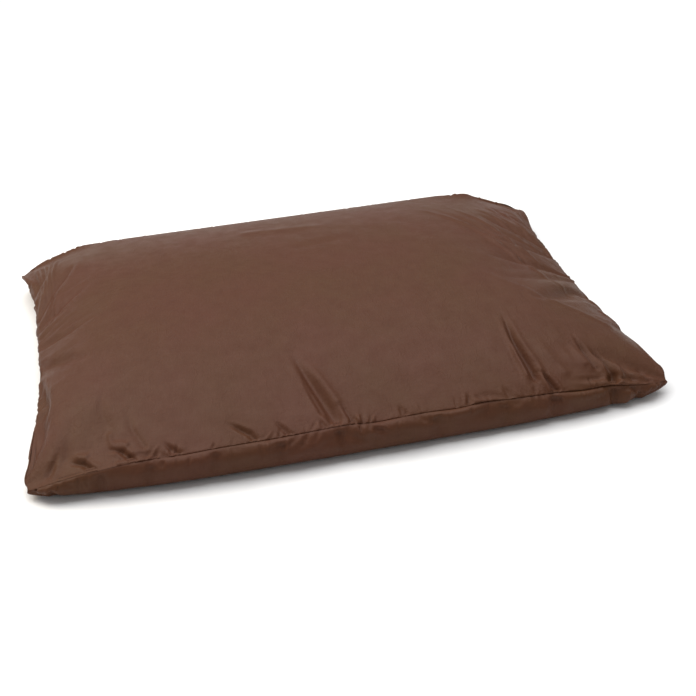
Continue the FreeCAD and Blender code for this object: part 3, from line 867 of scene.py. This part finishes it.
def label():
    """A blank satin tape, folded in half and caught in the rear seam."""
    low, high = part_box("care_label")
    across = np.linspace(low.x, high.x, LABEL_CELLS[0] + 1)
    drop = high.z - low.z
    back, height = rear_section(across)
    rows = []
    for t in np.linspace(0, 1, LABEL_CELLS[1] + 1):
        if t < 0.5 - LABEL_FOLD / 2:
            share = t / (0.5 - LABEL_FOLD / 2)
            layer, sag = 0.0, 0.0
        elif t < 0.5 + LABEL_FOLD / 2:
            turn = math.pi * (t - 0.5 + LABEL_FOLD / 2) / LABEL_FOLD
            share = 1.0
            layer, sag = (1 - math.cos(turn)) / 2, LABEL_SAG * math.sin(turn)
        else:
            share = (1 - t) / (0.5 - LABEL_FOLD / 2)
            layer, sag = smooth_step(share * 3), 0.0
        z = high.z - drop * share - sag
        gap = LABEL_GAP[0] + (LABEL_GAP[1] - LABEL_GAP[0]) * share + LABEL_LAYER * layer
        wave = LABEL_WAVE * share * (1 + np.sin((across - low.x) / (high.x - low.x) * LABEL_TURNS * math.pi))
        y = np.array([np.interp(-z, -height[:, k], back[:, k]) for k in range(len(across))]) + gap + wave
        rows.append(np.stack([across, y, z + 0 * across], -1))
    points = np.array(rows)
    cut = np.zeros_like(points)
    cut[..., 0] = across[None]
    cut[..., 1] = np.linspace(0, 2 * drop, len(points))[:, None]
    faces = grid_faces(*points.shape[:2])
    return mesh_piece("label_folded", points.reshape(-1, 3), faces, cut.reshape(-1, 3))


folded_label = label()

# ---------------------------------------------------------------------------------------------
# The inner cushion

LINER_GRID = (150, 112)
LINER_SHARE = (1 - 0.026 / TIP[0], 1 - 0.026 / TIP[1])
LINER_DEPTH = (0.013, 0.0030)  # below the cover's top, and above its base
LINER_SEAM_DROP = 0.24  # its seam hangs this much lower than the cover's
LINER_INSIDE = 0.022  # it lies at its full depth from this far inside its seam
LINER_LUMP, LINER_SEED = 0.0006, 11
LINER_FLAP = 0.004  # its allowance stands this far out of the seam
FILL_INSET = (0.006, 0.008)
FILL_DEPTH = (0.0022, 0.0010)  # below the liner's top, and above its base
FILL_LUMP, FILL_SEED = 0.0016, 13


def inner_panels(share, depths, lump, seed):
    """Both panels of a smooth shape inside the cover, which meet at one seam."""
    points = resized(cover, LINER_GRID).astype(float)
    plain = cut_panel(LINER_GRID)
    to_seam = np.minimum(CUT[0] / 2 - np.abs(plain[..., 0]), CUT[1] / 2 - np.abs(plain[..., 1]))
    inside = smooth_step(to_seam / LINER_INSIDE)[..., None]
    edge = points[0].copy()
    rng = np.random.default_rng(seed)
    out = []
    for panel, sign, depth in ((points[0], -1, depths[0]), (points[1], 1, depths[1])):
        smooth = blur(blur(panel, 1), 1)
        panel = panel * (1 - inside) + smooth * inside
        bumps = smooth_noise(rng, panel.shape[:2], 4, lump)[..., None]
        panel = panel + normals(panel) * sign * (depth + np.abs(bumps)) * inside
        out.append(panel)
    mean = (out[0] + out[1]) / 2
    for r, c in EDGES.values():
        out[0][r, c] = mean[r, c]
        out[1][r, c] = mean[r, c]
    for panel in out:
        panel[..., 0] *= share[0]
        panel[..., 1] *= share[1]
        panel[..., 2:] *= 1 - LINER_SEAM_DROP * (1 - inside)
    out[1][..., 2] = np.maximum(out[1][..., 2], depths[1])
    return out


liner = inner_panels(LINER_SHARE, LINER_DEPTH, LINER_LUMP, LINER_SEED)
fill = inner_panels(
    [share - inset for share, inset in zip(LINER_SHARE, FILL_INSET)],
    [depth + more for depth, more in zip(LINER_DEPTH, FILL_DEPTH)],
    FILL_LUMP,
    FILL_SEED,
)


def liner_panel(name, panel, sign):
    rows, cols = panel.shape[:2]
    cut = cut_panel(LINER_GRID) * np.array([LINER_CUT[0] / CUT[0], LINER_CUT[1] / CUT[1], 1])
    points, cuts = panel.reshape(-1, 3), cut.reshape(-1, 3)
    edge = rim(rows, cols)
    flap = points[edge] - inward_of(points[edge]) * LINER_FLAP
    flap_cut = cuts[edge] - inward_of(cuts[edge]) * LINER_FLAP
    flap[:, 2] += sign * 0.0002
    ring = np.arange(len(points), len(points) + len(edge))
    faces = np.concatenate([grid_faces(rows, cols, sign < 0), ring_faces(edge, ring, sign > 0)])
    return mesh_piece(name, np.concatenate([points, flap]), faces, np.concatenate([cuts, flap_cut]))


liner_top = liner_panel("liner_top", liner[0], 1)
liner_bottom = liner_panel("liner_bottom", liner[1], -1)


LOOP_STEP = 0.0005
LOOP_PITCH = 0.0040
LOOP_MIDDLE, LOOP_REACH, LOOP_HEIGHT = 0.0020, 0.0024, 0.0009  # out of the seam, and half across and high
LOOP_RADIUS = 0.00022


def overlock():
    """The overlock thread: one loop after another round the liner's trimmed edge."""
    rows, cols = liner[0].shape[:2]
    ring = liner[0].reshape(-1, 3)[rim(rows, cols)]
    path = np.concatenate([ring, ring[:1]])
    travelled = np.concatenate([[0], np.cumsum(np.linalg.norm(np.diff(path, axis=0), axis=1))])
    places = np.arange(0, travelled[-1], LOOP_STEP)
    middle = np.stack([np.interp(places, travelled, path[:, k]) for k in range(3)], -1)
    inward = inward_of(ring)
    inward = np.stack([np.interp(places, travelled[:-1], inward[:, k]) for k in range(3)], -1)
    turn = places / LOOP_PITCH * 2 * math.pi
    points = middle - inward * (LOOP_MIDDLE + LOOP_REACH * np.cos(turn))[:, None]
    points[:, 2] += LOOP_HEIGHT * np.sin(turn)
    side = np.broadcast_to([0.0, 0.0, 1.0], points[None].shape)
    return tubes("liner_overlock_loops", points[None], side, np.full(len(points), LOOP_RADIUS), sides=5)


overlock_loops = overlock()


def filling():
    """The fibre: one closed, lumpy body."""
    rows, cols = fill[0].shape[:2]
    top, bottom = fill[0].reshape(-1, 3), fill[1].reshape(-1, 3)
    edge = rim(rows, cols)
    index = np.arange(rows * cols, 2 * rows * cols)
    index[edge] = edge
    faces = np.concatenate([grid_faces(rows, cols), index[grid_faces(rows, cols, True)]])
    used = np.ones(2 * rows * cols, bool)
    used[rows * cols + edge] = False
    renumber = np.cumsum(used) - 1
    points = np.concatenate([top, bottom])
    return mesh_piece("fibre_filling", points[used], renumber[faces], points[used])


fibre = filling()

# ---------------------------------------------------------------------------------------------
# Materials


class Nodes:
    """Short calls for building one material's nodes."""

    def __init__(self, name):
        self.material = bpy.data.materials.new(name)
        self.material.use_nodes = True
        self.tree = self.material.node_tree
        self.shader = self.tree.nodes["Principled BSDF"]

    def add(self, kind, inputs=(), **settings):
        node = self.tree.nodes.new(kind)
        for key, value in settings.items():
            setattr(node, key, value)
        for key, value in dict(inputs).items():
            self.put(node.inputs[key], value)
        return node

    def put(self, socket, value):
        if isinstance(value, bpy.types.NodeSocket):
            self.tree.links.new(value, socket)
        else:
            socket.default_value = value

    def math(self, operation, first, second=0.0, third=0.0):
        inputs = {0: first, 1: second, 2: third}
        return self.add("ShaderNodeMath", inputs, operation=operation).outputs[0]

    def place(self, attribute="cut", scale=(1, 1, 1)):
        where = self.add("ShaderNodeAttribute", attribute_name=attribute)
        mapping = self.add("ShaderNodeMapping", {"Vector": where.outputs["Vector"], "Scale": scale})
        return mapping.outputs["Vector"]

    def object_place(self, scale=(1, 1, 1)):
        where = self.add("ShaderNodeTexCoord")
        mapping = self.add("ShaderNodeMapping", {"Vector": where.outputs["Object"], "Scale": scale})
        return mapping.outputs["Vector"]

    def noise(self, vector, scale, detail=4.0, roughness=0.55):
        inputs = {"Vector": vector, "Scale": scale, "Detail": detail, "Roughness": roughness}
        return self.add("ShaderNodeTexNoise", inputs).outputs["Fac"]

    def spread(self, value, low, high, to_low, to_high):
        inputs = {"Value": value, "From Min": low, "From Max": high, "To Min": to_low, "To Max": to_high}
        return self.add("ShaderNodeMapRange", inputs).outputs["Result"]

    def blend(self, share, first, second):
        node = self.add("ShaderNodeMix", data_type="RGBA")
        self.put(node.inputs["Factor"], share)
        self.put(node.inputs["A"], first)
        self.put(node.inputs["B"], second)
        return node.outputs["Result"]

    def bump(self, height, distance, strength=1.0, below=None):
        inputs = {"Height": height, "Distance": distance, "Strength": strength}
        if below is not None:
            inputs["Normal"] = below
        return self.add("ShaderNodeBump", inputs).outputs["Normal"]

    def weave(self, vector, pitch):
        """The height of a plain weave: 0 to 1, over and under in both directions."""
        split = self.add("ShaderNodeSeparateXYZ", {"Vector": vector})
        k = math.pi / pitch
        across = self.math("SINE", self.math("MULTIPLY", split.outputs[0], k))
        deep = self.math("SINE", self.math("MULTIPLY", split.outputs[1], k))
        return self.math("MULTIPLY_ADD", self.math("MULTIPLY", across, deep), 0.5, 0.5)

    def finish(self, **settings):
        for key, value in settings.items():
            self.put(self.shader.inputs[key.replace("_", " ")], value)
        return self.material


def rgb(r, g, b):
    return (r, g, b, 1.0)


def cover_fabric():
    n = Nodes("cover_coated_taffeta")
    cut = n.place()
    weave = n.weave(cut, 0.00045)
    slub_across = n.noise(n.place(scale=(60, 1400, 1)), 1.0, 2.0)
    slub_deep = n.noise(n.place(scale=(1400, 60, 1)), 1.0, 2.0)
    slubs = n.math("ADD", slub_across, slub_deep)
    cloud = n.noise(cut, 7.0, 3.0)
    patch = n.noise(cut, 38.0, 5.0, 0.6)
    crinkle = n.noise(n.place(scale=(1.0, 1.6, 1)), 120.0, 6.0, 0.62)
    streaks = n.noise(n.place(scale=(36, 11, 1)), 1.0, 3.0, 0.5)
    bent = n.noise(n.place(scale=(13, 8, 1)), 1.0, 4.0, 0.6)
    fold_marks = n.spread(n.math("ABSOLUTE", n.math("SUBTRACT", bent, 0.5)), 0.0, 0.012, 1.0, 0.0)
    redder, yellower = rgb(0.080, 0.0270, 0.0130), rgb(0.074, 0.0290, 0.0105)
    base = n.blend(n.spread(cloud, 0.35, 0.65, 0.0, 1.0), redder, yellower)
    base = n.blend(n.spread(patch, 0.3, 0.7, 0.0, 0.35), base, rgb(0.055, 0.0165, 0.0085))
    base = n.blend(n.spread(slubs, 0.8, 1.2, 0.0, 0.22), base, rgb(0.115, 0.044, 0.024))
    base = n.blend(n.math("MULTIPLY", weave, 0.14), base, rgb(0.034, 0.011, 0.006))
    rough = n.spread(patch, 0.3, 0.7, 0.44, 0.56)
    relief = n.bump(streaks, 0.0034, 0.5)
    relief = n.bump(fold_marks, 0.0005, 0.40, relief)
    relief = n.bump(crinkle, 0.0009, 0.60, relief)
    relief = n.bump(slubs, 0.00012, 0.7, relief)
    relief = n.bump(weave, 0.00009, 0.8, relief)
    return n.finish(
        Base_Color=base,
        Roughness=rough,
        Normal=relief,
        Specular_IOR_Level=0.16,
        Sheen_Weight=0.02,
        Sheen_Roughness=0.35,
        Sheen_Tint=rgb(0.85, 0.58, 0.44),
    )


def thread(name, ply_shade_and_fuzz, light):
    """Twisted thread: its plies run slantwise round it, and its colour is painted darker in the grooves
    between them, as painted shade.
    """
    n = Nodes(name)
    where = n.add("ShaderNodeSeparateXYZ", {"Vector": n.place()})
    turn = n.math("MULTIPLY_ADD", where.outputs[0], 26.0, where.outputs[1])
    plies = n.math("MULTIPLY_ADD", n.math("SINE", n.math("MULTIPLY", turn, 2.0)), 0.5, 0.5)
    fuzz = n.noise(n.object_place(), 9000.0, 2.0)
    # painted shade: the colour is darkest where the plies' bump is low, in the grooves between them
    base = n.blend(plies, ply_shade_and_fuzz, light)
    base = n.blend(n.spread(fuzz, 0.3, 0.7, 0.0, 0.3), base, ply_shade_and_fuzz)
    relief = n.bump(plies, 0.00006, 0.8)
    return n.finish(Base_Color=base, Roughness=0.6, Normal=relief, Specular_IOR_Level=0.4)


def plain_cloth(name, light, shade, pitch, roughness=0.85):
    n = Nodes(name)
    cut = n.place()
    weave = n.weave(cut, pitch)
    slubs = n.math(
        "ADD",
        n.noise(n.place(scale=(50, 1100, 1)), 1.0, 2.0),
        n.noise(n.place(scale=(1100, 50, 1)), 1.0, 2.0),
    )
    crumple = n.noise(cut, 60.0, 5.0)
    base = n.blend(n.spread(slubs, 0.8, 1.2, 0.0, 0.5), light, shade)
    base = n.blend(n.math("MULTIPLY", weave, 0.25), base, shade)
    relief = n.bump(crumple, 0.0008, 0.5)
    relief = n.bump(weave, 0.00015, 0.8, relief)
    return n.finish(Base_Color=base, Roughness=roughness, Normal=relief, Specular_IOR_Level=0.3)


def fibre_wadding():
    n = Nodes("polyester_fibre")
    where = n.object_place()
    warp = n.noise(where, 30.0, 3.0)
    strands = n.noise(n.object_place((1400, 240, 500)), 1.0, 4.0, 0.7)
    tufts = n.noise(where, 90.0, 5.0, 0.65)
    base = n.blend(n.spread(tufts, 0.35, 0.65, 0.0, 1.0), rgb(0.88, 0.88, 0.86), rgb(0.70, 0.70, 0.67))
    base = n.blend(n.spread(strands, 0.4, 0.6, 0.0, 0.3), base, rgb(0.60, 0.60, 0.58))
    relief = n.bump(n.math("ADD", tufts, n.math("MULTIPLY", warp, 0.6)), 0.004, 0.8)
    relief = n.bump(strands, 0.0005, 0.8, relief)
    return n.finish(
        Base_Color=base, Roughness=0.95, Normal=relief, Specular_IOR_Level=0.2, Sheen_Weight=0.25
    )


def zip_tape_cloth():
    """Herringbone: slanted ribs that change direction in narrow columns along the tape, painted darker in
    the grooves between them as painted shade.
    """
    n = Nodes("zip_tape_herringbone")
    where = n.add("ShaderNodeSeparateXYZ", {"Vector": n.object_place()})
    column = n.math("PINGPONG", where.outputs[2], 0.0014)
    slant = n.math("MULTIPLY_ADD", column, 1.6, where.outputs[0])
    ribs = n.math("MULTIPLY_ADD", n.math("SINE", n.math("MULTIPLY", slant, 2 * math.pi / 0.0007)), 0.5, 0.5)
    grain = n.noise(n.object_place((900, 900, 2600)), 1.0, 3.0)
    # painted shade: the first colour lies in the grooves, where the ribs' bump is low, and the second lies
    # on their crests
    base = n.blend(ribs, rgb(0.026, 0.012, 0.008), rgb(0.062, 0.030, 0.020))
    base = n.blend(n.spread(grain, 0.3, 0.7, 0.0, 0.4), base, rgb(0.080, 0.042, 0.030))
    relief = n.bump(ribs, 0.00012, 0.9)
    relief = n.bump(grain, 0.00005, 0.6, relief)
    return n.finish(Base_Color=base, Roughness=0.8, Normal=relief, Specular_IOR_Level=0.3)


def moulded_plastic():
    n = Nodes("zip_moulded_plastic")
    where = n.object_place()
    cloud = n.noise(where, 300.0, 3.0)
    grain = n.noise(where, 5200.0, 3.0)
    base = n.blend(n.spread(cloud, 0.3, 0.7, 0.0, 1.0), rgb(0.038, 0.019, 0.013), rgb(0.054, 0.027, 0.018))
    rough = n.spread(grain, 0.3, 0.7, 0.34, 0.50)
    relief = n.bump(grain, 0.00003, 0.6)
    return n.finish(Base_Color=base, Roughness=rough, Normal=relief, Specular_IOR_Level=0.5)


def enamelled_metal():
    """Brown enamel with fine scratches and a few worn specks."""
    n = Nodes("zip_enamelled_metal")
    where = n.object_place()
    speck = n.noise(where, 1500.0, 4.0, 0.6)
    scratch = n.noise(n.object_place((400, 4000, 4000)), 1.0, 3.0)
    wear = n.spread(speck, 0.64, 0.72, 0.0, 0.6)
    base = n.blend(n.spread(scratch, 0.4, 0.7, 0.0, 0.5), rgb(0.034, 0.017, 0.012), rgb(0.055, 0.029, 0.020))
    base = n.blend(wear, base, rgb(0.30, 0.28, 0.26))
    rough = n.spread(speck, 0.3, 0.7, 0.26, 0.42)
    relief = n.bump(speck, 0.00003, 0.5)
    return n.finish(Base_Color=base, Metallic=wear, Roughness=rough, Normal=relief)


def label_satin():
    n = Nodes("label_blank_satin")
    ribs = n.noise(n.place(scale=(3600, 90, 1)), 1.0, 2.0)
    soft = n.noise(n.place(), 140.0, 3.0)
    base = n.blend(n.spread(soft, 0.3, 0.7, 0.0, 1.0), rgb(0.78, 0.76, 0.70), rgb(0.66, 0.64, 0.58))
    relief = n.bump(ribs, 0.00004, 0.7)
    return n.finish(Base_Color=base, Roughness=0.42, Normal=relief, Specular_IOR_Level=0.5)


cover_cloth = cover_fabric()
# the first colour of cover_thread and liner_thread is painted shade for the grooves between the plies, and
# also the colour of the fuzz
cover_thread = thread("cover_twisted_thread", rgb(0.028, 0.013, 0.009), rgb(0.066, 0.031, 0.021))
liner_cloth = plain_cloth("liner_plain_weave", rgb(0.72, 0.69, 0.61), rgb(0.50, 0.47, 0.40), 0.0006)
liner_thread = thread("liner_twisted_thread", rgb(0.56, 0.54, 0.48), rgb(0.80, 0.78, 0.72))
fibre_look = fibre_wadding()
tape_cloth = zip_tape_cloth()
zip_plastic = moulded_plastic()
zip_metal = enamelled_metal()
label_cloth = label_satin()

# ---------------------------------------------------------------------------------------------
# What each piece is, and what it stands for

PIECES = (
    (cover_top, cover_cloth, "cover_fabric", "cover_top_panel"),
    (cover_bottom, cover_cloth, "cover_fabric", "cover_bottom_panel"),
    (needle_stitches, cover_thread, "cover_thread", "cover_seam_needle_thread"),
    (bobbin_stitches, cover_thread, "cover_thread", "cover_seam_bobbin_thread"),
    (liner_top, liner_cloth, "liner_fabric", "liner_top_panel"),
    (liner_bottom, liner_cloth, "liner_fabric", "liner_bottom_panel"),
    (overlock_loops, liner_thread, "liner_thread", "liner_overlock_thread"),
    (fibre, fibre_look, "fibre", "fibre_fill"),
    (upper_zip_stitches, cover_thread, "cover_thread", "zip_stitching_upper"),
    (lower_zip_stitches, cover_thread, "cover_thread", "zip_stitching_lower"),
    (folded_label, label_cloth, "label", "care_label"),
)
for piece, material, slot, node in PIECES:
    piece.data.materials.append(material)
    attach(piece, "cushion")
    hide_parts(node)

CARRIED_OVER = {
    "zip_tape_upper": tape_cloth,
    "zip_tape_lower": tape_cloth,
    "zip_teeth_upper": zip_plastic,
    "zip_teeth_lower": zip_plastic,
    "zip_top_stops": zip_plastic,
    "zip_bottom_stop": zip_plastic,
    "zip_slider": zip_metal,
    "zip_pull": zip_metal,
}
for node, material in CARRIED_OVER.items():
    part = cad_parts[node]
    part.data.materials.clear()
    part.data.materials.append(material)


# ---------------------------------------------------------------------------------------------
# Floor, light and camera


def floor_material():
    n = Nodes("studio_floor")
    speck = n.noise(n.object_place(), 40.0, 3.0)
    base = n.blend(n.spread(speck, 0.3, 0.7, 0.0, 1.0), rgb(0.88, 0.88, 0.88), rgb(0.90, 0.90, 0.90))
    return n.finish(Base_Color=base, Roughness=0.9, Specular_IOR_Level=0.1)


FLOOR_HALF = 6
FLOOR_Z = -0.001  # just under the bed
WORLD_LIGHT = 0.40


def stage():
    corners = [(x * FLOOR_HALF, y * FLOOR_HALF, FLOOR_Z) for x, y in ((-1, -1), (1, -1), (1, 1), (-1, 1))]
    floor = mesh_piece("studio_floor", np.array(corners, dtype=float), [[0, 1, 2, 3]])
    floor.data.materials.append(floor_material())
    world = bpy.data.worlds.new("studio")
    world.use_nodes = True
    background = world.node_tree.nodes["Background"]
    background.inputs["Color"].default_value = rgb(1.0, 1.0, 1.0)
    background.inputs["Strength"].default_value = WORLD_LIGHT
    bpy.context.scene.world = world
    bpy.context.scene.view_settings.view_transform = "Standard"


def soft_light(name, place, target, size, watts, tint=(1.0, 1.0, 1.0)):
    light = bpy.data.lights.new(name, "AREA")
    light.shape = "RECTANGLE"
    light.size, light.size_y = size
    light.energy = watts
    light.color = tint
    lamp = bpy.data.objects.new(name, light)
    lamp.location = place
    lamp.rotation_euler = (Vector(target) - Vector(place)).to_track_quat("-Z", "Y").to_euler()
    bpy.context.scene.collection.objects.link(lamp)


CAMERA_PLACE = (-0.279, -1.691, 0.942)
CAMERA_AZIMUTH, CAMERA_ELEVATION, CAMERA_ROLL = -11.0, 29.4, -3.4  # degrees
CAMERA_LENS, CAMERA_SENSOR = 65.6, 36  # millimetres


def camera():
    azimuth, elevation, roll = map(math.radians, (CAMERA_AZIMUTH, CAMERA_ELEVATION, CAMERA_ROLL))
    level = math.cos(elevation)
    back = Vector((math.sin(azimuth) * level, -math.cos(azimuth) * level, math.sin(elevation)))
    right = (-back).cross(Vector((0, 0, 1))).normalized()
    up = right.cross(-back)
    rolled_right = math.cos(roll) * right + math.sin(roll) * up
    rolled_up = math.cos(roll) * up - math.sin(roll) * right
    matrix = Matrix((rolled_right, rolled_up, back)).transposed().to_4x4()
    matrix.translation = Vector(CAMERA_PLACE)
    settings = bpy.data.cameras.new("camera")
    settings.sensor_width = CAMERA_SENSOR
    settings.lens = CAMERA_LENS
    view = bpy.data.objects.new("camera", settings)
    view.matrix_world = matrix
    bpy.context.scene.collection.objects.link(view)
    bpy.context.scene.camera = view


stage()
soft_light("overhead", (0, 0.6, 3.0), (0, 0.1, 0), (4.5, 3.5), 134)
soft_light("key", (-1.9, 0.9, 2.0), (0, 0, 0.05), (1.4, 1.4), 34, (1.0, 0.90, 0.74))
camera()
